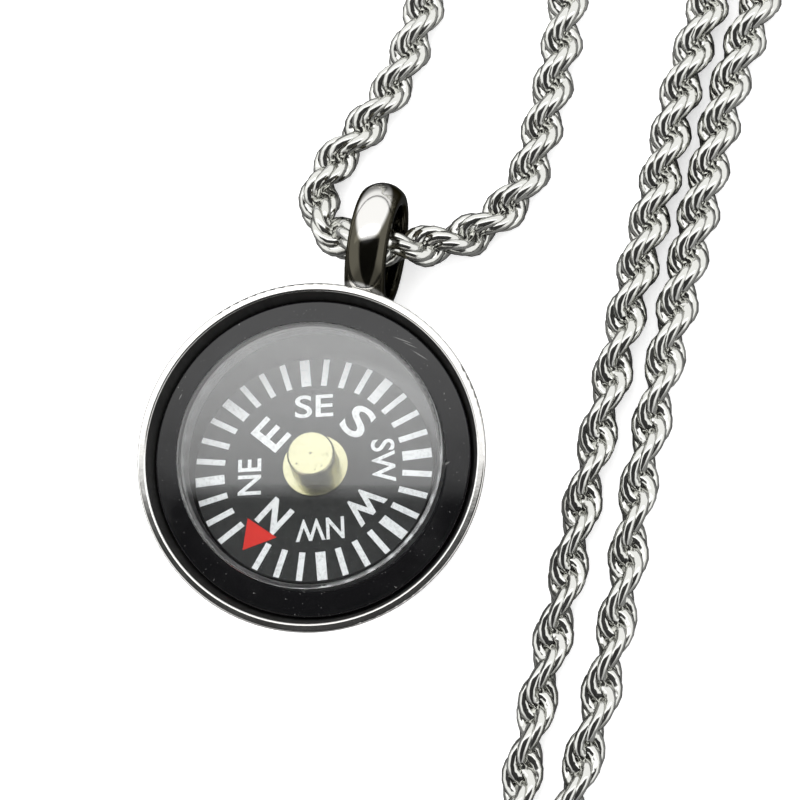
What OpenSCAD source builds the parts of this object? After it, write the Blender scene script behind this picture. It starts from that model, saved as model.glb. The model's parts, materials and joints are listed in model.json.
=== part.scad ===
// Compass pendant on a rope chain, lying on a flat surface.
// The origin is the centre of the case's back face. +Z points up, and +Y runs
// from the case towards the long end of the loop.

/* [Case] */
// Radius of the case at the outside of its lip
case_r = 12.5; // [12.4:0.1:13]
// Height of the case
case_h = 8; // [7.8:0.1:8.4]
// Thickness of the wall
wall_t = 0.64; // [0.5:0.02:0.7]
// Radius of the flat part of the back face
back_r = 8.9; // [8.8:0.1:9.1]
// Radius of the rounded corner between back and wall
back_corner = 2.2; // [2:0.1:2.3]
// Thickness of the back
floor_t = 1; // [0.8:0.05:1]

/* [Bail] */
// Outer radius of the bail ring
bail_r = 4.85; // [4.8:0.05:5]
// Radius of the bail's hole
bail_hole_r = 3.3; // [3.2:0.05:3.5]
// Width of the bail's band
bail_w = 2.9; // [2.8:0.1:3]
// Direction of the bail from the middle of the case, in degrees from +X
bail_azimuth = 76; // [75:1:77]
// How far the ring is turned from pointing straight at the case, in degrees
bail_yaw = 5; // [0:1:6]
// Distance from the middle of the case to the middle of the ring
bail_reach = 16.25; // [16.1:0.05:16.4]

/* [Capsule] */
// How far the capsule sits off the middle of the case, along X
capsule_x = -0.05; // [-0.05:0.05:0.05]
// How far the capsule sits off the middle of the case, along Y
capsule_y = 0.05; // [-0.05:0.05:0.05]
// Radius of the dish's lower body
dish_r = 9.9; // [9.8:0.05:9.9]
// Radius of the dish's flange
flange_r = 11.4; // [11:0.05:11.4]
// Radius of the space that the dial turns in
cavity_r = 9.25; // [9.2:0.05:9.3]
// Height of the flange's top above the surface
flange_top = 6.8; // [6.6:0.05:6.9]
// Height of the clear cap's top above the surface
lens_top = 8.4; // [8.35:0.05:8.6]

/* [Dial] */
// Radius of the dial
card_r = 8.65; // [8.55:0.05:8.7]
// Thickness of the dial
card_t = 0.4; // [0.3:0.05:0.4]
// Height of the dial's middle above the surface
card_z = 4.6; // [4.5:0.05:4.65]
// How far the dial dips on its pin, in degrees
card_tilt = 13.5; // [0:0.5:13.5]
// Direction in which the dial dips, in degrees from +X
card_dip = 86; // [0:1:359]
// Height of the brass hub above the dial
hub_h = 2.6; // [2.3:0.05:2.6]
// Radius of the hub's post
hub_r = 1.75; // [1.6:0.05:1.8]
// Radius of the hub's flange
hub_flange_r = 2.35; // [2.2:0.05:2.5]

/* [Chain] */
// Diameter of the rope chain
chain_d = 3; // [2.8:0.1:3.1]
// Outer radius of the clasp
clasp_r = 2.2; // [2.15:0.05:2.2]

/* [Hidden] */
$fn = 96;
gap = 0.05;

// Case: the wall is a straight line that touches the corner circle below and
// the lip's outer edge circle above, so the outline runs on smoothly.
lip_edge = 0.18;
corner_c = [back_r, back_corner];
lip_c = [case_r - lip_edge, case_h - lip_edge];
span = lip_c - corner_c;
lean = atan2(span[1], span[0]) - acos((back_corner - lip_edge) / norm(span));
out_dir = [cos(lean), sin(lean)];
wall_edge = out_dir * corner_c + back_corner;
function wall_x(z, depth) = (wall_edge - depth - out_dir[1] * z) / out_dir[0];
rim = [wall_x(lip_c[1], wall_t), lip_c[1]];

// Bail: a crowned band. Its outer face is an arc across the width, and
// smaller arcs run from it into the flanks.
crown_r = 1.9;
band_edge = 0.45;
hole_edge = 0.3;
bail_half = bail_w / 2;
crown_c = bail_r - crown_r;
edge_c = crown_c + sqrt(pow(crown_r - band_edge, 2) - pow(bail_half - band_edge, 2));
crown_end = [
    crown_c + (edge_c - crown_c) * crown_r / (crown_r - band_edge),
    (bail_half - band_edge) * crown_r / (crown_r - band_edge)
];
solder_r = 1.25;
solder_len = 1.15;

// Capsule: the dish stands on the case's floor, and the clear cap stands on a
// ledge inside the dish.
dish_floor = floor_t + gap;
dish_t = 0.65;
flange_bottom = 5.7;
flange_edge = 0.15;
flange_foot_r = flange_r - 0.35;
ledge_z = 5.25;
lens_t = 0.3;
lens_r = cavity_r + lens_t;
lens_bottom = ledge_z + gap;
lens_plate = 0.7;
lens_edge = 0.25;

// Dial: the card hangs below the pin's tip, so it is turned about that tip. Its
// hub sits a little off the middle of the disc.
card_off = [-0.18, -0.08];
hub_drop = 1.8;
pivot = [capsule_x, capsule_y, card_z + hub_drop * cos(card_tilt)];
shank_r = 1.3;
shank_gap = 0.03;
card_hole_r = shank_r + shank_gap;
hub_bore_r = 1;
hub_bore_z = 0.9;
hub_cone_z = hub_bore_z + hub_bore_r;
hub_taper = 0.05;
pin_r = 0.3;
pin_base_r = 0.6;
pin_base_h = 0.8;
pin_point = 1.2;

// Chain: x and y of each point of the route, and the lift of the chain's
// middle above where it would lie. It runs from the clasp up the inner half of
// the loop, through the bail, and back down the outer half to the clasp.
chain_r = chain_d / 2;
chain_sides = 8;
clasp_lift = clasp_r - chain_r;
ROUTE = [
    // clasp and lower bend
    [11.3, -76, clasp_lift], [9, -76, clasp_lift], [6.2, -74.8, 0.3], [4.4, -71.6, 0],
    [3.8, -65, 0], [4.6, -57, 0], [6.8, -49, 0], [9.6, -41, 0], [12.2, -33, 0],
    // beside the case
    [14.1, -25.5, 0], [15.7, -17.5, 0], [17.5, -9.5, 0], [19.1, -1.5, 0], [20.9, 6.5, 0], [22.6, 14, 0],
    [24.4, 21.5, 0], [26.1, 29, 0], [28.2, 36, 0],
    // inner upper bend
    [30.3, 44, 0], [31.9, 52, 0], [33, 60, 0], [32.9, 67.5, 0], [30.4, 73.2, 0], [26.2, 74.8, 0],
    [22.8, 71.6, 0], [21.1, 65, 0], [20.2, 57, 0], [19.3, 49, 0], [18.3, 42, 0],
    // down to the bail and through it
    [17.5, 36, 0], [17, 32, 0], [16.3, 28.4, 0], [15.5, 25, 0], [14.5, 21.7, 0], [12.9, 19.4, 0],
    [10.9, 17.8, 0.1], [8.7, 16.7, 0.8], [6.4, 16.3, 1.7], [4, 16.2, 2.1], [1.8, 16.6, 1.8],
    // up from the bail
    [0.2, 17.7, 1.1], [-0.8, 19.2, 0.4], [-1, 20.9, 0.1], [-0.4, 22.7, 0], [1.6, 25.2, 0],
    [3.5, 27.8, 0], [5, 30.6, 0], [6.1, 33.8, 0],
    // outer upper bend
    [7.4, 39, 0], [8.7, 47, 0], [9.8, 55.5, 0], [11.2, 64, 0], [13.4, 72, 0], [17, 79.3, 0],
    [22.6, 83.8, 0], [29.2, 84, 0], [34.6, 80.2, 0], [37.6, 73.5, 0], [38.2, 65.5, 0], [37.3, 57, 0],
    [35.8, 49, 0], [34, 42, 0],
    // beside the case
    [32, 36, 0], [29.6, 29, 0], [27.8, 21.5, 0], [26.1, 14, 0], [24.5, 6.5, 0], [22.9, -1.5, 0],
    [21.7, -9.5, 0], [20, -17.5, 0],
    // lower bend, back to the clasp
    [17.9, -25.5, 0], [17.4, -33.5, 0], [19.4, -41.5, 0], [23.2, -48.7, 0], [27, -55.8, 0],
    [29.8, -63, 0], [30.6, -69.8, 0], [28.9, -74.7, 0.3], [26, -76, clasp_lift], [23.7, -76, clasp_lift]
];
route_end = len(ROUTE) - 1;
chain_way = [for (p = ROUTE) [p[0], p[1], p[2] + chain_r]];
function unit(v) = v / norm(v);
function heading(i) = i == 0
    ? unit(chain_way[1] - chain_way[0])
    : i == route_end
        ? unit(chain_way[i] - chain_way[i - 1])
        : unit(unit(chain_way[i] - chain_way[i - 1]) + unit(chain_way[i + 1] - chain_way[i]));
function sideways(t) = unit(cross([0, 0, 1], t));

// Clasp: a barrel with a waist on each side and a socket for each chain end.
socket_gap = 0.15;
socket_r = chain_r + socket_gap;
socket_depth = 1.4;
socket_end = 0.1;
cup_wall = 0.4;
clasp_half = (ROUTE[route_end][0] - ROUTE[0][0]) / 2 + socket_depth - socket_end;
clasp_x = (ROUTE[route_end][0] + ROUTE[0][0]) / 2;
clasp_y = ROUTE[0][1];
cup_r = socket_r + cup_wall;
cup_len = 3;
cup_edge = 0.15;
waist_r = 1.5;
waist_len = 0.8;
barrel_len = 2 * (clasp_half - cup_len - waist_len);
barrel_edge = 0.4;

// Straight outline of the case, filled; the circles round it off.
module case_fill() {
    low = corner_c + back_corner * out_dir;
    high = lip_c + lip_edge * out_dir;
    polygon([[0, 0], [back_r, 0], corner_c, low, high, lip_c, [0, lip_c[1]]]);
}

// Room inside the case, up to where the lip's edge circles begin.
module case_room() {
    polygon([[0, floor_t], [wall_x(floor_t, wall_t), floor_t], rim, [0, rim[1]]]);
}

// The lip's narrow flat land, between an outer and an inner edge circle.
module lip() {
    inner_c = [rim[0] + lip_edge, rim[1]];
    translate([inner_c[0], inner_c[1] - lip_edge])
        square([lip_c[0] - inner_c[0], 2 * lip_edge]);
    for (c = [inner_c, lip_c]) translate(c) circle(r = lip_edge, $fn = 32);
}

module case_shell() {
    rotate_extrude() {
        difference() {
            union() {
                case_fill();
                translate(corner_c) circle(r = back_corner);
            }
            case_room();
        }
        lip();
    }
}

// Section of the bail's band: x is the radius, and y is the way along the hole.
module bail_section() {
    hole_edge_c = bail_hole_r + hole_edge;
    polygon([
        [bail_hole_r, hole_edge - bail_half], [hole_edge_c, -bail_half], [edge_c, -bail_half],
        [crown_end[0], -crown_end[1]], crown_end, [edge_c, bail_half], [hole_edge_c, bail_half],
        [bail_hole_r, bail_half - hole_edge]
    ]);
    for (side = [-1, 1]) {
        translate([edge_c, side * (bail_half - band_edge)]) circle(r = band_edge, $fn = 48);
        translate([hole_edge_c, side * (bail_half - hole_edge)]) circle(r = hole_edge, $fn = 32);
    }
    intersection() {
        translate([crown_c, 0]) circle(r = crown_r, $fn = 160);
        translate([crown_end[0], -crown_end[1]]) square([crown_r, 2 * crown_end[1]]);
    }
}

// The ring stands upright, with its lowest point level with the case's back.
module bail() {
    rotate([0, 0, bail_azimuth]) translate([bail_reach, 0, bail_r]) {
        rotate([90, 0, bail_yaw]) rotate_extrude() bail_section();
        rotate([0, -90, 0]) translate([0, 0, bail_hole_r + hole_edge])
            cylinder(r = solder_r, h = solder_len, $fn = 48);
    }
}

module case() {
    color("silver") union() {
        case_shell();
        bail();
    }
}

module at_capsule() {
    translate([capsule_x, capsule_y, 0]) children();
}

// Dish: a flat floor, a wall with a flange that widens upwards as the case does,
// and a ledge for the clear cap.
module capsule_dish() {
    color("#17181a") at_capsule() rotate_extrude() {
        difference() {
            union() {
                translate([0, dish_floor]) square([dish_r, flange_bottom - dish_floor]);
                polygon([
                    [0, flange_bottom], [flange_foot_r, flange_bottom],
                    [flange_r, flange_top - flange_edge], [flange_r - flange_edge, flange_top],
                    [0, flange_top]
                ]);
                translate([flange_r - flange_edge, flange_top - flange_edge])
                    circle(r = flange_edge, $fn = 32);
            }
            translate([0, dish_floor + dish_t]) square([cavity_r, case_h]);
            translate([0, ledge_z]) square([lens_r + gap, case_h]);
        }
    }
}

module lens() {
    color("#dfe8ea", 0.35) at_capsule() rotate_extrude() {
        difference() {
            union() {
                translate([0, lens_bottom]) square([lens_r, lens_top - lens_edge - lens_bottom]);
                translate([0, lens_bottom]) square([lens_r - lens_edge, lens_top - lens_bottom]);
                translate([lens_r - lens_edge, lens_top - lens_edge]) circle(r = lens_edge, $fn = 32);
            }
            translate([0, lens_bottom - gap]) square([cavity_r, lens_top - lens_plate - lens_bottom + gap]);
        }
    }
}

module pivot_pin() {
    pin_foot = dish_floor + dish_t;
    color("silver") at_capsule() rotate_extrude($fn = 48)
        polygon([
            [0, pin_foot], [pin_base_r, pin_foot], [pin_base_r, pin_foot + pin_base_h],
            [pin_r, pin_foot + pin_base_h + pin_r], [pin_r, pivot[2] - pin_point], [0, pivot[2]]
        ]);
}

// The dial's own frame: z is measured from the dial's face, and the whole is
// dipped about the pin's tip.
module at_card() {
    translate(pivot) rotate([0, 0, card_dip]) rotate([0, card_tilt, 0]) rotate([0, 0, -card_dip])
        translate([0, 0, -hub_drop]) children();
}

module card() {
    color("#3f4143") at_card() difference() {
        translate([card_off[0], card_off[1], -card_t]) cylinder(r = card_r, h = card_t, $fn = 128);
        translate([0, 0, -2 * card_t]) cylinder(r = card_hole_r, h = 3 * card_t);
    }
}

// Hub: a post on a flange, with a shank through the dial and a bore that ends
// in a cone for the pin's tip.
module hub() {
    flange_z = 0.02;
    flange_h = 0.3;
    top_edge = 0.12;
    color("#c9bd8a") at_card() rotate_extrude() polygon([
        [hub_bore_r, -card_t], [shank_r, -card_t], [shank_r, flange_z], [hub_flange_r, flange_z],
        [hub_flange_r, flange_z + flange_h], [hub_r, flange_z + flange_h],
        [hub_r - hub_taper, hub_h - top_edge], [hub_r - hub_taper - top_edge, hub_h], [0, hub_h],
        [0, hub_cone_z], [hub_bore_r, hub_bore_z]
    ]);
}

// Chain: rings of points across the route, one corner of each pointing down.
module chain() {
    rings = [for (i = [0 : route_end]) let (t = heading(i), s = sideways(t), u = cross(t, s))
        for (k = [0 : chain_sides - 1]) let (a = 360 * k / chain_sides - 90)
            chain_way[i] + chain_r * (cos(a) * s + sin(a) * u)];
    start_cap = [for (k = [0 : chain_sides - 1]) k];
    end_cap = [for (k = [chain_sides - 1 : -1 : 0]) route_end * chain_sides + k];
    sides = [for (i = [0 : route_end - 1]) for (k = [0 : chain_sides - 1])
        let (n = (k + 1) % chain_sides, a = i * chain_sides, b = a + chain_sides)
            [a + k, b + k, b + n, a + n]];
    color("silver") polyhedron(points = rings, faces = concat([start_cap, end_cap], sides), convexity = 10);
}

// Half outline of a bar on its axis, with both ends rounded.
module round_bar(r, len, edge) {
    translate([0, -len / 2]) square([r - edge, len]);
    translate([0, edge - len / 2]) square([r, len - 2 * edge]);
    for (end = [-1, 1]) translate([r - edge, end * (len / 2 - edge)]) circle(r = edge, $fn = 32);
}

module clasp() {
    color("silver") translate([clasp_x, clasp_y, clasp_r]) rotate([0, 90, 0]) difference() {
        rotate_extrude() {
            round_bar(clasp_r, barrel_len, barrel_edge);
            translate([0, -clasp_half + cup_len / 2]) square([waist_r, 2 * clasp_half - cup_len]);
            for (end = [-1, 1])
                translate([0, end * (clasp_half - cup_len / 2)]) round_bar(cup_r, cup_len, cup_edge);
        }
        for (end = [-1, 1])
            translate([0, 0, end * clasp_half]) cylinder(r = socket_r, h = 2 * socket_depth, center = true);
    }
}

case();
capsule_dish();
lens();
pivot_pin();
card();
hub();
chain();
clasp();
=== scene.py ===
import json
import math

import bpy
from mathutils import Matrix, Vector


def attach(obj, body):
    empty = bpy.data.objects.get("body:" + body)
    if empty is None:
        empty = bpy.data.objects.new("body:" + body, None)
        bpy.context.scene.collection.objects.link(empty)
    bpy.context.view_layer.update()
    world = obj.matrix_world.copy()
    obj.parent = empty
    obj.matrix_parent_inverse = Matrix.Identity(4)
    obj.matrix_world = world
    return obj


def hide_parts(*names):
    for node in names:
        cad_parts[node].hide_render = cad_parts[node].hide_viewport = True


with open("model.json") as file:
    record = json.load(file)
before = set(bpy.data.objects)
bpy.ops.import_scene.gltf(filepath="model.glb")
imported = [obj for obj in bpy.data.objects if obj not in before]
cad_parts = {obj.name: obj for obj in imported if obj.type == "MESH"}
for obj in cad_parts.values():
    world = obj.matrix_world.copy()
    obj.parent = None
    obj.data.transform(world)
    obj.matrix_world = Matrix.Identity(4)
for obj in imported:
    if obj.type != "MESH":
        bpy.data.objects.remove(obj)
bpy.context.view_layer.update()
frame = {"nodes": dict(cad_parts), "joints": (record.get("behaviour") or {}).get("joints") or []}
bpy.ops.object.select_all(action="DESELECT")
mm = 0.001

# Camera: it looks down on the lying pendant from 15 cm above it and a little to
# its lower right.
camera_right = Vector((0.99035822, 0.02526901, -0.136206))
camera_up = Vector((0.0, 0.98322292, 0.18240804))
camera_back = Vector((0.13853013, -0.1806493, 0.9737429))
camera_place = Vector((26.859, -22.794, 152.072)) * mm
bpy.ops.object.camera_add()
camera = bpy.context.object
camera.name = "camera"
camera.data.lens = 94.5
camera.data.sensor_width = 36
camera.data.clip_start = 0.005
camera.matrix_world = Matrix.Translation(camera_place) @ Matrix(
    (camera_right, camera_up, camera_back)
).transposed().to_4x4()
bpy.context.scene.camera = camera

# Floor: a plain white sheet under the pendant. Polished metal sees it with painted shade, dark round the
# case and the lower chain, and brighter under the upper part of the chain.
floor_size = 4.0
floor_drop = 0.02 * mm
floor_shaded, floor_lit = 26 * mm, 60 * mm
floor_dim, floor_bright = 0.2, 0.7
floor_glow = 0.45


def fade(nodes, start, end, low=0.0, high=1.0):
    """A soft step from low to high as its value runs from start to end."""
    step = nodes.new("ShaderNodeMapRange")
    step.interpolation_type = "SMOOTHSTEP"
    step.inputs["From Min"].default_value = start
    step.inputs["From Max"].default_value = end
    step.inputs["To Min"].default_value = low
    step.inputs["To Max"].default_value = high
    return step


def numbers(nodes, operation, value=None):
    """A calculation with numbers, its second value set where one is given."""
    result = nodes.new("ShaderNodeMath")
    result.operation = operation
    if value is not None:
        result.inputs[1].default_value = value
    return result


def paint(name):
    """A new material with its nodes and links."""
    material = bpy.data.materials.new(name)
    material.use_nodes = True
    return material, material.node_tree.nodes, material.node_tree.links


bpy.ops.mesh.primitive_plane_add(size=floor_size, location=(0, 0, -floor_drop))
floor = bpy.context.object
floor.name = "floor"
floor_paint, nodes, links = paint("floor_white")
floor_shader = nodes["Principled BSDF"]
floor_shader.inputs["Base Color"].default_value = (0.93, 0.93, 0.93, 1)
floor_shader.inputs["Roughness"].default_value = 0.9
floor_shader.inputs["Specular IOR Level"].default_value = 0.1
floor_shader.inputs["Emission Color"].default_value = (1, 1, 1, 1)
floor_shader.inputs["Emission Strength"].default_value = floor_glow
floor_at = nodes.new("ShaderNodeTexCoord")
floor_split = nodes.new("ShaderNodeSeparateXYZ")
# Painted shade that only reflections see: the floor's tone in metal runs from dim near the case to bright
# beyond.
floor_tone = fade(nodes, floor_shaded, floor_lit, floor_dim, floor_bright)
floor_in_metal = nodes.new("ShaderNodeBsdfDiffuse")
floor_ray = nodes.new("ShaderNodeLightPath")
floor_mix = nodes.new("ShaderNodeMixShader")
links.new(floor_at.outputs["Object"], floor_split.inputs["Vector"])
links.new(floor_split.outputs["Y"], floor_tone.inputs["Value"])
links.new(floor_tone.outputs["Result"], floor_in_metal.inputs["Color"])
links.new(floor_ray.outputs["Is Glossy Ray"], floor_mix.inputs["Fac"])
links.new(floor_shader.outputs["BSDF"], floor_mix.inputs[1])
links.new(floor_in_metal.outputs["BSDF"], floor_mix.inputs[2])
links.new(floor_mix.outputs["Shader"], nodes["Material Output"].inputs["Surface"])
floor.data.materials.append(floor_paint)

# Studio light: a white tent, dimmer at the front, with a dark seam where it meets
# the floor, one wide soft panel beyond the bail, a lamp that reflections don't
# show, and a soft black flag above and before the case that only they show.
tent_white, tent_dark = 1.2, 0.02
front_dim, front_white = -0.75, -0.4
front_share = 0.5
rise_low, rise_high = 0.0, 0.12
world = bpy.data.worlds.new("tent")
bpy.context.scene.world = world
world.use_nodes = True
nodes, links = world.node_tree.nodes, world.node_tree.links
tent_way = nodes.new("ShaderNodeTexCoord")
tent_split = nodes.new("ShaderNodeSeparateXYZ")
tent_front = fade(nodes, front_dim, front_white, front_share, 1)
tent_rise = fade(nodes, rise_low, rise_high)
tent_open = numbers(nodes, "MULTIPLY")
tent_tone = fade(nodes, 0, 1, tent_dark, tent_white)
links.new(tent_way.outputs["Generated"], tent_split.inputs["Vector"])
links.new(tent_split.outputs["Y"], tent_front.inputs["Value"])
links.new(tent_split.outputs["Z"], tent_rise.inputs["Value"])
links.new(tent_front.outputs["Result"], tent_open.inputs[0])
links.new(tent_rise.outputs["Result"], tent_open.inputs[1])
links.new(tent_open.outputs["Value"], tent_tone.inputs["Value"])
links.new(tent_tone.outputs["Result"], nodes["Background"].inputs["Color"])

flag_size, flag_height, flag_before = 1.2, 155 * mm, -0.55
flag_middle, flag_half, flag_edge = 30 * mm, 120 * mm, 165 * mm
flag_start, flag_end = 10 * mm, 40 * mm
bpy.ops.mesh.primitive_plane_add(size=flag_size, location=(0, flag_before, flag_height))
flag = bpy.context.object
flag.name = "black_flag"
flag.data.transform(flag.matrix_world)
flag.matrix_world = Matrix.Identity(4)
flag.visible_camera = False
flag.visible_diffuse = False
flag.visible_shadow = False
flag_cloth, nodes, links = paint("flag_cloth")
nodes["Principled BSDF"].inputs["Base Color"].default_value = (0.01, 0.01, 0.01, 1)
flag_at = nodes.new("ShaderNodeTexCoord")
flag_split = nodes.new("ShaderNodeSeparateXYZ")
flag_reach = nodes.new("ShaderNodeMapRange")
flag_reach.inputs["From Min"].default_value = flag_start
flag_reach.inputs["From Max"].default_value = flag_end
flag_thin = nodes.new("ShaderNodeValToRGB")
flag_thin.color_ramp.elements[0].position = 0.22
flag_thin.color_ramp.elements[0].color = (0, 0, 0, 1)
flag_thin.color_ramp.elements[1].position = 0.3
flag_thin.color_ramp.elements[1].color = (0.5, 0.5, 0.5, 1)
flag_thin.color_ramp.elements.new(0.95).color = (1, 1, 1, 1)
flag_aside = numbers(nodes, "SUBTRACT", flag_middle)
flag_off = numbers(nodes, "ABSOLUTE")
flag_side = fade(nodes, flag_half, flag_edge)
flag_clear = numbers(nodes, "MAXIMUM")
flag_gone = nodes.new("ShaderNodeBsdfTransparent")
flag_mix = nodes.new("ShaderNodeMixShader")
links.new(flag_at.outputs["Object"], flag_split.inputs["Vector"])
links.new(flag_split.outputs["Y"], flag_reach.inputs["Value"])
links.new(flag_reach.outputs["Result"], flag_thin.inputs["Fac"])
links.new(flag_split.outputs["X"], flag_aside.inputs[0])
links.new(flag_aside.outputs["Value"], flag_off.inputs[0])
links.new(flag_off.outputs["Value"], flag_side.inputs["Value"])
links.new(flag_thin.outputs["Color"], flag_clear.inputs[0])
links.new(flag_side.outputs["Result"], flag_clear.inputs[1])
links.new(flag_clear.outputs["Value"], flag_mix.inputs["Fac"])
links.new(nodes["Principled BSDF"].outputs["BSDF"], flag_mix.inputs[1])
links.new(flag_gone.outputs["BSDF"], flag_mix.inputs[2])
links.new(flag_mix.outputs["Shader"], nodes["Material Output"].inputs["Surface"])
flag.data.materials.append(flag_cloth)

panel_low, panel_high = (-1.9, 0.14), (1.1, 0.5)
panel_height, panel_power = 1.0, 2.6
lamp_low, lamp_high = (-2.2, -0.6), (0.2, 1.8)
lamp_height, lamp_power = 0.9, 18


def soft_panel(name, low, high, height, power):
    """A level rectangle of light that shines straight down."""
    bpy.ops.object.light_add(
        type="AREA", location=((low[0] + high[0]) / 2, (low[1] + high[1]) / 2, height)
    )
    lamp = bpy.context.object
    lamp.name = name
    lamp.data.shape = "RECTANGLE"
    lamp.data.size = high[0] - low[0]
    lamp.data.size_y = high[1] - low[1]
    lamp.data.energy = power
    return lamp


soft_panel("panel", panel_low, panel_high, panel_height, panel_power)
floor_lamp = soft_panel("floor_lamp", lamp_low, lamp_high, lamp_height, lamp_power)
floor_lamp.visible_glossy = False
bpy.context.scene.view_settings.view_transform = "Standard"


# Case and bail: pressed stainless steel, polished all over, with the bail soldered to the wall. The strip
# of wall that shows inside the lip is brushed, and its colour there is darkened as painted shade of the
# recess.
def noise(nodes, scale, detail):
    """A noise of that scale and detail."""
    texture = nodes.new("ShaderNodeTexNoise")
    texture.inputs["Scale"].default_value = scale
    texture.inputs["Detail"].default_value = detail
    return texture


def vectors(nodes, operation, value=None):
    """A calculation with vectors, its second value set where one is given."""
    result = nodes.new("ShaderNodeVectorMath")
    result.operation = operation
    if value is not None:
        result.inputs[1].default_value = value
    return result


def two_tones(nodes, first, second):
    """A mix of two tones, from the first at 0 to the second at 1."""
    mix = nodes.new("ShaderNodeMix")
    mix.data_type = "RGBA"
    mix.inputs["A"].default_value = (*first, 1)
    mix.inputs["B"].default_value = (*second, 1)
    return mix


def steel(name, colour, roughness, edge, grain_scale, grain_depth):
    """Polished steel with fine wiping marks and a slightly uneven gloss."""
    material, nodes, links = paint(name)
    shader = nodes["Principled BSDF"]
    shader.inputs["Metallic"].default_value = 1
    shader.inputs["Base Color"].default_value = (*colour, 1)
    shader.inputs["Specular Tint"].default_value = (edge, edge, edge, 1)
    place = nodes.new("ShaderNodeTexCoord")
    patches = noise(nodes, 260, 4)
    gloss = nodes.new("ShaderNodeMapRange")
    gloss.name = "gloss"
    gloss.inputs["From Min"].default_value = 0.3
    gloss.inputs["From Max"].default_value = 0.7
    gloss.inputs["To Min"].default_value = roughness * 0.7
    gloss.inputs["To Max"].default_value = roughness * 1.5
    grain = noise(nodes, grain_scale, 3)
    bump = nodes.new("ShaderNodeBump")
    bump.inputs["Strength"].default_value = 0.25
    bump.inputs["Distance"].default_value = grain_depth
    links.new(place.outputs["Object"], patches.inputs["Vector"])
    links.new(patches.outputs["Fac"], gloss.inputs["Value"])
    links.new(gloss.outputs["Result"], shader.inputs["Roughness"])
    links.new(place.outputs["Object"], grain.inputs["Vector"])
    links.new(grain.outputs["Fac"], bump.inputs["Height"])
    links.new(bump.outputs["Normal"], shader.inputs["Normal"])
    return material


def give_finish(piece, material):
    """Puts one material on every slot of a piece."""
    if not piece.material_slots:
        piece.data.materials.append(material)
    for slot in piece.material_slots:
        slot.material = material


# The brushing runs up the wall, so its streaks change with the direction from
# the case's middle and not with the height.
polished = (0.8, 0.79, 0.765)
brushed_shade = (0.3, 0.3, 0.295)
# The bail's painted dark reflection colour.
bail_painted_shade = (0.09, 0.084, 0.064)
brush_radius = 11.86 * mm
case_steel = steel("case_steel", polished, 0.09, 0.3, 900, 0.02 * mm)
nodes, links = case_steel.node_tree.nodes, case_steel.node_tree.links
case_at = nodes.new("ShaderNodeTexCoord")
flat = vectors(nodes, "MULTIPLY", (1, 1, 0))
outward = vectors(nodes, "NORMALIZE")
reach = vectors(nodes, "LENGTH")
streaks = noise(nodes, 85, 3)
inside = fade(nodes, brush_radius, brush_radius + 0.05 * mm, 1, 0)
brushed_gloss = nodes.new("ShaderNodeMapRange")
brushed_gloss.inputs["To Min"].default_value = 0.2
brushed_gloss.inputs["To Max"].default_value = 0.55
gloss_pick = nodes.new("ShaderNodeMix")
# The brushed strip's darker colour is painted shade of the recess inside the lip; its brushing is in its
# gloss.
brushed_shade_tone = two_tones(nodes, polished, brushed_shade)
links.new(case_at.outputs["Object"], flat.inputs[0])
links.new(flat.outputs["Vector"], outward.inputs[0])
links.new(flat.outputs["Vector"], reach.inputs[0])
links.new(outward.outputs["Vector"], streaks.inputs["Vector"])
links.new(reach.outputs["Value"], inside.inputs["Value"])
links.new(streaks.outputs["Fac"], brushed_gloss.inputs["Value"])
links.new(inside.outputs["Result"], gloss_pick.inputs["Factor"])
links.new(nodes["gloss"].outputs["Result"], gloss_pick.inputs["A"])
links.new(brushed_gloss.outputs["Result"], gloss_pick.inputs["B"])
links.new(gloss_pick.outputs["Result"], nodes["Principled BSDF"].inputs["Roughness"])
links.new(inside.outputs["Result"], brushed_shade_tone.inputs["Factor"])

# The bail is painted dark, a painted reflection of the dark room round it, but for an oval on its crown
# left polished as a painted highlight. The oval's middle is crown_tilt from straight up, on the side away
# from the case.
bail_start = 12.7 * mm
bail_full = bail_start + 0.2 * mm
bail_r = 4.85 * mm
bail_middle = Vector((3.93, 15.77, 4.85)) * mm
hole_turn, crown_tilt = math.radians(-9), math.radians(28)
oval_wide, oval_long = 1.14 * mm, 3.1 * mm
crown_way = Vector((
    -math.sin(hole_turn) * math.sin(crown_tilt),
    math.cos(hole_turn) * math.sin(crown_tilt),
    math.cos(crown_tilt),
))
crown_at = nodes.new("ShaderNodeMapping")
crown_at.vector_type = "TEXTURE"
crown_at.inputs["Location"].default_value = bail_middle + bail_r * crown_way
crown_at.inputs["Rotation"].default_value = (0, 0, hole_turn)
crown_at.inputs["Scale"].default_value = (oval_wide, oval_long, oval_long)
crown_away = vectors(nodes, "LENGTH")
off_painted_highlight = fade(nodes, 0.88, 1.08)
on_bail = fade(nodes, bail_start, bail_full)
# Painted shade: the bail's colour is darkened everywhere but the painted highlight oval on its crown.
bail_shade_mask = numbers(nodes, "MULTIPLY")
bail_painted_tone = two_tones(nodes, polished, bail_painted_shade)
links.new(case_at.outputs["Object"], crown_at.inputs["Vector"])
links.new(crown_at.outputs["Vector"], crown_away.inputs[0])
links.new(crown_away.outputs["Value"], off_painted_highlight.inputs["Value"])
links.new(reach.outputs["Value"], on_bail.inputs["Value"])
links.new(off_painted_highlight.outputs["Result"], bail_shade_mask.inputs[0])
links.new(on_bail.outputs["Result"], bail_shade_mask.inputs[1])
links.new(bail_shade_mask.outputs["Value"], bail_painted_tone.inputs["Factor"])
links.new(brushed_shade_tone.outputs["Result"], bail_painted_tone.inputs["A"])
links.new(bail_painted_tone.outputs["Result"], nodes["Principled BSDF"].inputs["Base Color"])
give_finish(frame["nodes"]["case"], case_steel)

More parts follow.
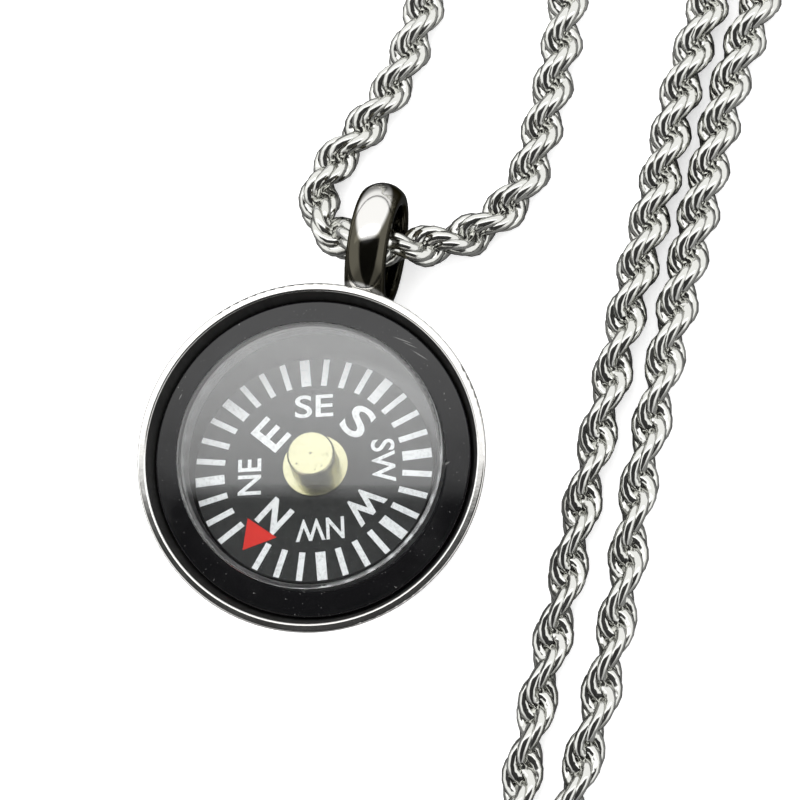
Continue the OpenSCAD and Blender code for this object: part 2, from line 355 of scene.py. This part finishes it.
# Dish: glossy black plastic, moulded, with dust and a few scratches on its
# flange. It drops into the case and holds the clear cap.
scratches = [
    # x, y, turn in degrees, length, width
    (6.3, 8.5, -20, 0.9, 0.05), (6.8, 8.15, -24, 0.7, 0.04), (7.55, 7.4, -32, 0.8, 0.05),
    (9.6, -0.4, 30, 0.35, 0.09), (-9.8, 4.4, 64, 0.3, 0.05),
]
dish_plastic, nodes, links = paint("dish_plastic")
dish_shader = nodes["Principled BSDF"]
dish_at = nodes.new("ShaderNodeTexCoord")
dust = noise(nodes, 5200, 2)
marked = fade(nodes, 0.7, 0.78)
smudge = noise(nodes, 420, 5)
links.new(dish_at.outputs["Object"], dust.inputs["Vector"])
links.new(dish_at.outputs["Object"], smudge.inputs["Vector"])
links.new(dust.outputs["Fac"], marked.inputs["Value"])
worn = marked.outputs["Result"]
for x, y, turn, length, width in scratches:
    along = nodes.new("ShaderNodeMapping")
    along.vector_type = "TEXTURE"
    along.inputs["Location"].default_value = (x * mm, y * mm, 0)
    along.inputs["Rotation"].default_value = (0, 0, math.radians(turn))
    along.inputs["Scale"].default_value = (length * mm, width * mm, 1)
    away = vectors(nodes, "LENGTH")
    scratch = fade(nodes, 0.4, 1, 0.8, 0)
    both = numbers(nodes, "MAXIMUM")
    links.new(dish_at.outputs["Object"], along.inputs["Vector"])
    links.new(along.outputs["Vector"], away.inputs[0])
    links.new(away.outputs["Value"], scratch.inputs["Value"])
    links.new(worn, both.inputs[0])
    links.new(scratch.outputs["Result"], both.inputs[1])
    worn = both.outputs["Value"]
dish_tone = two_tones(nodes, (0.004, 0.004, 0.0045), (0.16, 0.16, 0.155))
dish_gloss = fade(nodes, 0.35, 0.7, 0.04, 0.14)
links.new(worn, dish_tone.inputs["Factor"])
links.new(dish_tone.outputs["Result"], dish_shader.inputs["Base Color"])
links.new(smudge.outputs["Fac"], dish_gloss.inputs["Value"])
links.new(dish_gloss.outputs["Result"], dish_shader.inputs["Roughness"])
give_finish(frame["nodes"]["capsule_dish"], dish_plastic)

# Clear cap: moulded acrylic with a polished top, pressed into the dish. Its top is faintly hazed by
# handling, and its side wall is matt and tinted grey.
cap_wall_start, cap_wall_full = 9.1 * mm, 9.15 * mm
cap_wall_top, cap_wall_end = 7.75 * mm, 7.9 * mm
lens_clear, nodes, links = paint("lens_clear")
lens_shader = nodes["Principled BSDF"]
lens_shader.inputs["IOR"].default_value = 1.49
lens_shader.inputs["Coat Weight"].default_value = 1
lens_shader.inputs["Coat IOR"].default_value = 1.55
lens_shader.inputs["Coat Roughness"].default_value = 0.02
lens_shader.inputs["Transmission Weight"].default_value = 1
lens_at = nodes.new("ShaderNodeTexCoord")
haze = noise(nodes, 350, 5)
lens_gloss = fade(nodes, 0.35, 0.75, 0.005, 0.04)
lens_flat = vectors(nodes, "MULTIPLY", (1, 1, 0))
lens_reach = vectors(nodes, "LENGTH")
lens_split = nodes.new("ShaderNodeSeparateXYZ")
lens_side = fade(nodes, cap_wall_start, cap_wall_full)
lens_low = fade(nodes, cap_wall_top, cap_wall_end, 1, 0)
lens_wall = numbers(nodes, "MULTIPLY")
lens_matt = nodes.new("ShaderNodeMix")
lens_matt.inputs["B"].default_value = 0.3
lens_tone = two_tones(nodes, (0.97, 0.98, 0.98), (0.3, 0.31, 0.31))
links.new(lens_at.outputs["Object"], haze.inputs["Vector"])
links.new(lens_at.outputs["Object"], lens_flat.inputs[0])
links.new(lens_at.outputs["Object"], lens_split.inputs["Vector"])
links.new(lens_flat.outputs["Vector"], lens_reach.inputs[0])
links.new(lens_reach.outputs["Value"], lens_side.inputs["Value"])
links.new(lens_split.outputs["Z"], lens_low.inputs["Value"])
links.new(lens_side.outputs["Result"], lens_wall.inputs[0])
links.new(lens_low.outputs["Result"], lens_wall.inputs[1])
links.new(haze.outputs["Fac"], lens_gloss.inputs["Value"])
links.new(lens_gloss.outputs["Result"], lens_matt.inputs["A"])
links.new(lens_wall.outputs["Value"], lens_matt.inputs["Factor"])
links.new(lens_matt.outputs["Result"], lens_shader.inputs["Roughness"])
links.new(lens_wall.outputs["Value"], lens_tone.inputs["Factor"])
links.new(lens_tone.outputs["Result"], lens_shader.inputs["Base Color"])
give_finish(frame["nodes"]["lens"], lens_clear)
frame["nodes"]["lens"].visible_shadow = False

# Pin: a ground steel point that carries the dial.
pin_steel = steel("pin_steel", (0.55, 0.55, 0.55), 0.25, 0.5, 1500, 0.01 * mm)
give_finish(frame["nodes"]["pivot_pin"], pin_steel)

# Dial: a thin dark disc, its middle a little off the pin. It hangs dipped on the
# pin's tip, so everything printed on it is laid out flat and then tipped with it.
dial_pivot = Vector(frame["joints"][0]["pos_m"])
dial_axis = Vector(frame["joints"][0]["axis"])
dial_drop = 1.8 * mm
disc_middle = Vector((-0.18, -0.08, 0)) * mm
dial_place = (
    Matrix.Translation(dial_pivot)
    @ Vector((0, 0, 1)).rotation_difference(dial_axis).to_matrix().to_4x4()
    @ Matrix.Translation((0, 0, -dial_drop))
)
card_face, nodes, links = paint("card_face")
card_shader = nodes["Principled BSDF"]
card_shader.inputs["Roughness"].default_value = 0.55
card_shader.inputs["Specular IOR Level"].default_value = 0.15
card_at = nodes.new("ShaderNodeTexCoord")
card_noise = noise(nodes, 2600, 2)
card_tone = two_tones(nodes, (0.019, 0.0195, 0.0195), (0.044, 0.045, 0.045))
links.new(card_at.outputs["Object"], card_noise.inputs["Vector"])
links.new(card_noise.outputs["Fac"], card_tone.inputs["Factor"])
links.new(card_tone.outputs["Result"], card_shader.inputs["Base Color"])
give_finish(frame["nodes"]["card"], card_face)

# Ticks: white print at 32 places round the dial. Every fourth one is broad and
# stands for a labelled direction, but at north the red mark takes its place.
tick_count = 32
tick_in, tick_out = 6.48 * mm, 8.6 * mm
tick_thin, tick_broad = 0.44 * mm, 0.72 * mm
print_sunk, print_proud = 0.01 * mm, 0.02 * mm
first_mark = math.radians(98.5)
north_tick = 12
white_print, nodes, links = paint("white_print")
print_shader = nodes["Principled BSDF"]
print_shader.inputs["Roughness"].default_value = 0.6
print_at = nodes.new("ShaderNodeTexCoord")
print_noise = noise(nodes, 4200, 3)
print_tone = nodes.new("ShaderNodeValToRGB")
print_tone.color_ramp.elements[0].position = 0.34
print_tone.color_ramp.elements[0].color = (0.7, 0.715, 0.72, 1)
print_tone.color_ramp.elements[1].position = 0.52
print_tone.color_ramp.elements[1].color = (0.89, 0.91, 0.92, 1)
links.new(print_at.outputs["Object"], print_noise.inputs["Vector"])
links.new(print_noise.outputs["Fac"], print_tone.inputs["Fac"])
links.new(print_tone.outputs["Color"], print_shader.inputs["Base Color"])


def join(pieces, name):
    """Joins pieces into one, and returns it with that name."""
    bpy.ops.object.select_all(action="DESELECT")
    for piece in pieces:
        piece.select_set(True)
    bpy.context.view_layer.objects.active = pieces[0]
    bpy.ops.object.join()
    joined = bpy.context.object
    joined.name = name
    joined.data.name = name
    bpy.ops.object.select_all(action="DESELECT")
    return joined


def lay_on_dial(piece, material):
    """Tips a finished print with the dial, and lets it turn with the dial."""
    piece.data.transform(dial_place @ piece.matrix_world)
    piece.matrix_world = Matrix.Identity(4)
    give_finish(piece, material)
    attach(piece, "card")


tick_list = []
for i in range(tick_count):
    if i == north_tick:
        continue
    width = tick_broad if i % 4 == 0 else tick_thin
    bpy.ops.mesh.primitive_cube_add(size=1)
    tick = bpy.context.object
    tick.data.transform(
        Matrix.Translation(disc_middle)
        @ Matrix.Rotation(first_mark + i * 2 * math.pi / tick_count, 4, "Z")
        @ Matrix.Translation(((tick_in + tick_out) / 2, 0, (print_proud - print_sunk) / 2))
        @ Matrix.Diagonal((tick_out - tick_in, width, print_proud + print_sunk, 1))
    )
    tick_list.append(tick)
ticks = join(tick_list, "dial_ticks")
lay_on_dial(ticks, white_print)

# Letters: the eight directions in white print, single letters bold and large,
# pairs smaller, all with their tops towards the dial's edge.
labels = [
    # text, middle x and y in mm, turn in degrees, width and height in mm, boldness in mm
    ("SE", -0.47, 4.77, 4, 2.82, 1.8, 0.035), ("S", 2.84, 3.57, -38, 1.9, 2.48, 0.05),
    ("E", -3.48, 2.51, 52, 1.78, 2.48, 0.045), ("NE", -4.78, -0.84, 94, 2.8, 1.69, 0.04),
    ("N", -2.72, -3.8, 141.5, 1.86, 2.28, 0.09), ("NW", 0.63, -4.77, 186, 3.5, 1.66, 0.04),
    ("W", 3.67, -2.87, 231, 2.78, 2.08, 0.09), ("SW", 4.88, 0.52, 276, 3.35, 1.72, 0.04),
]
letter_size = 3 * mm
label_list = []
for text, x, y, turn, width, height, bold in labels:
    bpy.ops.object.text_add()
    label = bpy.context.object
    label.data.body = text
    label.data.size = letter_size
    label.data.align_x = "CENTER"
    label.data.align_y = "CENTER"
    label.data.offset = bold * mm
    label.data.extrude = (print_proud + print_sunk) / 2
    label.data.resolution_u = 6
    bpy.ops.object.convert(target="MESH")
    label = bpy.context.object
    low = Vector(label.bound_box[0])
    high = Vector(label.bound_box[6])
    label.data.transform(
        Matrix.Translation((x * mm, y * mm, (print_proud - print_sunk) / 2))
        @ Matrix.Rotation(math.radians(turn), 4, "Z")
        @ Matrix.Diagonal((width * mm / (high.x - low.x), height * mm / (high.y - low.y), 1, 1))
        @ Matrix.Translation(-(low + high) / 2)
    )
    label_list.append(label)
letters = join(label_list, "dial_letters")
lay_on_dial(letters, white_print)

# North mark: a red triangle in the north tick's place, with its point outwards.
north_mark_points = [(-4.64, -4.02), (-2.44, -5.44), (-4.8, -6.44)]
bpy.ops.mesh.primitive_circle_add(vertices=3, radius=1, fill_type="NGON")
north_mark = bpy.context.object
north_mark.name = "dial_north_mark"
for vertex, (x, y) in zip(north_mark.data.vertices, north_mark_points):
    vertex.co = Vector((x * mm, y * mm, -print_sunk))
bpy.ops.object.mode_set(mode="EDIT")
bpy.ops.mesh.select_all(action="SELECT")
bpy.ops.mesh.extrude_region_move(TRANSFORM_OT_translate={"value": (0, 0, 1.5 * print_proud + print_sunk)})
bpy.ops.mesh.select_all(action="SELECT")
bpy.ops.mesh.normals_make_consistent(inside=False)
bpy.ops.object.mode_set(mode="OBJECT")
red_paint, nodes, links = paint("red_paint")
red_shader = nodes["Principled BSDF"]
red_shader.inputs["Roughness"].default_value = 0.5
red_shader.inputs["Specular IOR Level"].default_value = 0.2
red_at = nodes.new("ShaderNodeTexCoord")
red_noise = noise(nodes, 2400, 3)
red_tone = two_tones(nodes, (0.62, 0.028, 0.02), (0.8, 0.042, 0.032))
links.new(red_at.outputs["Object"], red_noise.inputs["Vector"])
links.new(red_noise.outputs["Fac"], red_tone.inputs["Factor"])
links.new(red_tone.outputs["Result"], red_shader.inputs["Base Color"])
lay_on_dial(north_mark, red_paint)

# Hub: turned brass, nickelled pale, riveted through the dial. It has a few dark
# specks and the mark that turning left in the middle of its top.
brass, stain = (0.52, 0.5, 0.32), (0.13, 0.12, 0.07)
hub_rise = 2.6 * mm
mark_dark, mark_gone = 0.07 * mm, 0.14 * mm
hub_brass = steel("hub_brass", brass, 0.2, 0.6, 1800, 0.01 * mm)
hub_top = dial_place @ Vector((0, 0, hub_rise))
nodes, links = hub_brass.node_tree.nodes, hub_brass.node_tree.links
hub_at = nodes.new("ShaderNodeTexCoord")
specks = noise(nodes, 3600, 2)
speck_dark = fade(nodes, 0.66, 0.74, 0, 0.8)
from_middle = vectors(nodes, "DISTANCE", hub_top)
middle_dark = fade(nodes, mark_dark, mark_gone, 0.7, 0)
stained = numbers(nodes, "MAXIMUM")
hub_tone = two_tones(nodes, brass, stain)
links.new(hub_at.outputs["Object"], specks.inputs["Vector"])
links.new(hub_at.outputs["Object"], from_middle.inputs[0])
links.new(specks.outputs["Fac"], speck_dark.inputs["Value"])
links.new(from_middle.outputs["Value"], middle_dark.inputs["Value"])
links.new(speck_dark.outputs["Result"], stained.inputs[0])
links.new(middle_dark.outputs["Result"], stained.inputs[1])
links.new(stained.outputs["Value"], hub_tone.inputs["Factor"])
links.new(hub_tone.outputs["Result"], nodes["Principled BSDF"].inputs["Base Color"])
give_finish(frame["nodes"]["hub"], hub_brass)

# Chain: a rope chain of small long links. Each link is turned against the one
# before it and is bent round with the turn, so that the row of them twists into
# a two-stranded rope.
link_r, wire_r = 1.08 * mm, 0.42 * mm
long_tight, long_slack = 1.3, 1.12
bend_tight, bend_slack = 0.28, 0.3
slack_swell = 0.09
link_turn = math.radians(40)
step_tight, step_slack = 1.09 * mm, 0.76 * mm
slack_from, slack_to = 2 * mm, 18 * mm
chain_r = 1.5 * mm
end_inset = 1.7 * mm
clasp_lift = 0.7
chain_route = [
    # clasp and lower bend
    (11.3, -76, clasp_lift), (9, -76, clasp_lift), (6.2, -74.8, 0.3), (4.4, -71.6, 0),
    (3.8, -65, 0), (4.6, -57, 0), (6.8, -49, 0), (9.6, -41, 0), (12.2, -33, 0),
    # beside the case
    (14.1, -25.5, 0), (15.7, -17.5, 0), (17.5, -9.5, 0), (19.1, -1.5, 0), (20.9, 6.5, 0), (22.6, 14, 0),
    (24.4, 21.5, 0), (26.1, 29, 0), (28.2, 36, 0),
    # inner upper bend
    (30.3, 44, 0), (31.9, 52, 0), (33, 60, 0), (32.9, 67.5, 0), (30.4, 73.2, 0), (26.2, 74.8, 0),
    (22.8, 71.6, 0), (21.1, 65, 0), (20.2, 57, 0), (19.3, 49, 0), (18.3, 42, 0),
    # down to the bail and through it
    (17.5, 36, 0), (17, 32, 0), (16.3, 28.4, 0), (15.5, 25, 0), (14.5, 21.7, 0), (12.9, 19.4, 0),
    (10.9, 17.8, 0.1), (8.7, 16.7, 0.8), (6.4, 16.3, 1.7), (4, 16.2, 2.1), (1.8, 16.6, 1.8),
    # up from the bail
    (0.2, 17.7, 1.1), (-0.8, 19.2, 0.4), (-1, 20.9, 0.1), (-0.4, 22.7, 0), (1.6, 25.2, 0),
    (3.5, 27.8, 0), (5, 30.6, 0), (6.1, 33.8, 0),
    # outer upper bend
    (7.4, 39, 0), (8.7, 47, 0), (9.8, 55.5, 0), (11.2, 64, 0), (13.4, 72, 0), (17, 79.3, 0),
    (22.6, 83.8, 0), (29.2, 84, 0), (34.6, 80.2, 0), (37.6, 73.5, 0), (38.2, 65.5, 0), (37.3, 57, 0),
    (35.8, 49, 0), (34, 42, 0),
    # beside the case
    (32, 36, 0), (29.6, 29, 0), (27.8, 21.5, 0), (26.1, 14, 0), (24.5, 6.5, 0), (22.9, -1.5, 0),
    (21.7, -9.5, 0), (20, -17.5, 0),
    # lower bend, back to the clasp
    (17.9, -25.5, 0), (17.4, -33.5, 0), (19.4, -41.5, 0), (23.2, -48.7, 0), (27, -55.8, 0),
    (29.8, -63, 0), (30.6, -69.8, 0), (28.9, -74.7, 0.3), (26, -76, clasp_lift), (23.7, -76, clasp_lift),
]


def smooth_way(points, pieces=12):
    """Points close together on the smooth curve through the route's points."""
    points = [2 * points[0] - points[1], *points, 2 * points[-1] - points[-2]]
    way = []
    for a, b, c, d in zip(points, points[1:], points[2:], points[3:]):
        ab, bc, cd = ((q - p).length ** 0.5 for p, q in ((a, b), (b, c), (c, d)))
        leave = bc * ((b - a) / ab - (c - a) / (ab + bc) + (c - b) / bc)
        arrive = bc * ((c - b) / bc - (d - b) / (bc + cd) + (d - c) / cd)
        for i in range(pieces):
            t = i / pieces
            way.append(
                (2 * t**3 - 3 * t**2 + 1) * b + (t**3 - 2 * t**2 + t) * leave
                + (3 * t**2 - 2 * t**3) * c + (t**3 - t**2) * arrive
            )
    return [*way, points[-2]]


def places_along(way, start, step):
    """Each link's point and heading: the step may change along the way."""
    places, due, walked = [], start, 0
    length = sum((b - a).length for a, b in zip(way, way[1:]))
    for a, b in zip(way, way[1:]):
        span = (b - a).length
        while walked + span >= due and due <= length - start:
            point = a.lerp(b, (due - walked) / span)
            places.append((point, (b - a).normalized()))
            due += step(point)
        walked += span
    return places


def slackness(point):
    """From 0 beside the case, where the chain is taut, to 1 beyond the bail."""
    t = min(max((point.y - slack_from) / (slack_to - slack_from), 0), 1)
    return t * t * (3 - 2 * t)


def link_step(point):
    """Distance from a link to the next."""
    return step_tight + (step_slack - step_tight) * slackness(point)


chain_way = smooth_way([Vector((x, y, lift)) * mm + Vector((0, 0, chain_r)) for x, y, lift in chain_route])
link_places = places_along(chain_way, end_inset, link_step)
bpy.ops.mesh.primitive_torus_add(
    major_segments=16, minor_segments=6, major_radius=link_r, minor_radius=wire_r
)
first_link = bpy.context.object
bpy.ops.object.shade_smooth()
link_list = []
turned = 0
for point, along in link_places:
    side = Vector((0, 0, 1)).cross(along).normalized()
    across = Matrix.Rotation(turned, 3, along) @ side
    slack = slackness(point)
    turned += link_turn
    bend = (bend_tight + (bend_slack - bend_tight) * slack) * link_turn / link_step(point)
    long = long_tight + (long_slack - long_tight) * slack
    link = first_link.copy()
    link.data = first_link.data.copy()
    for vertex in link.data.vertices:
        vertex.co *= 1 + slack_swell * slack
        vertex.co.x *= long
        vertex.co = Matrix.Rotation(bend * vertex.co.x, 3, "X") @ vertex.co
    point = point + Vector((0, 0, chain_r * slack_swell * slack))
    link.data.transform(
        Matrix.Translation(point) @ Matrix((along, across, along.cross(across))).transposed().to_4x4()
    )
    bpy.context.collection.objects.link(link)
    link_list.append(link)
bpy.data.objects.remove(first_link)
rope = join(link_list, "rope_chain")
chain_steel = steel("chain_steel", (0.7, 0.702, 0.668), 0.11, 0.3, 1400, 0.02 * mm)
give_finish(rope, chain_steel)
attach(rope, "pendant")
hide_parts("chain")

# Clasp: a polished barrel with a cup at each end for the chain.
clasp_steel = steel("clasp_steel", polished, 0.1, 0.3, 900, 0.02 * mm)
give_finish(frame["nodes"]["clasp"], clasp_steel)
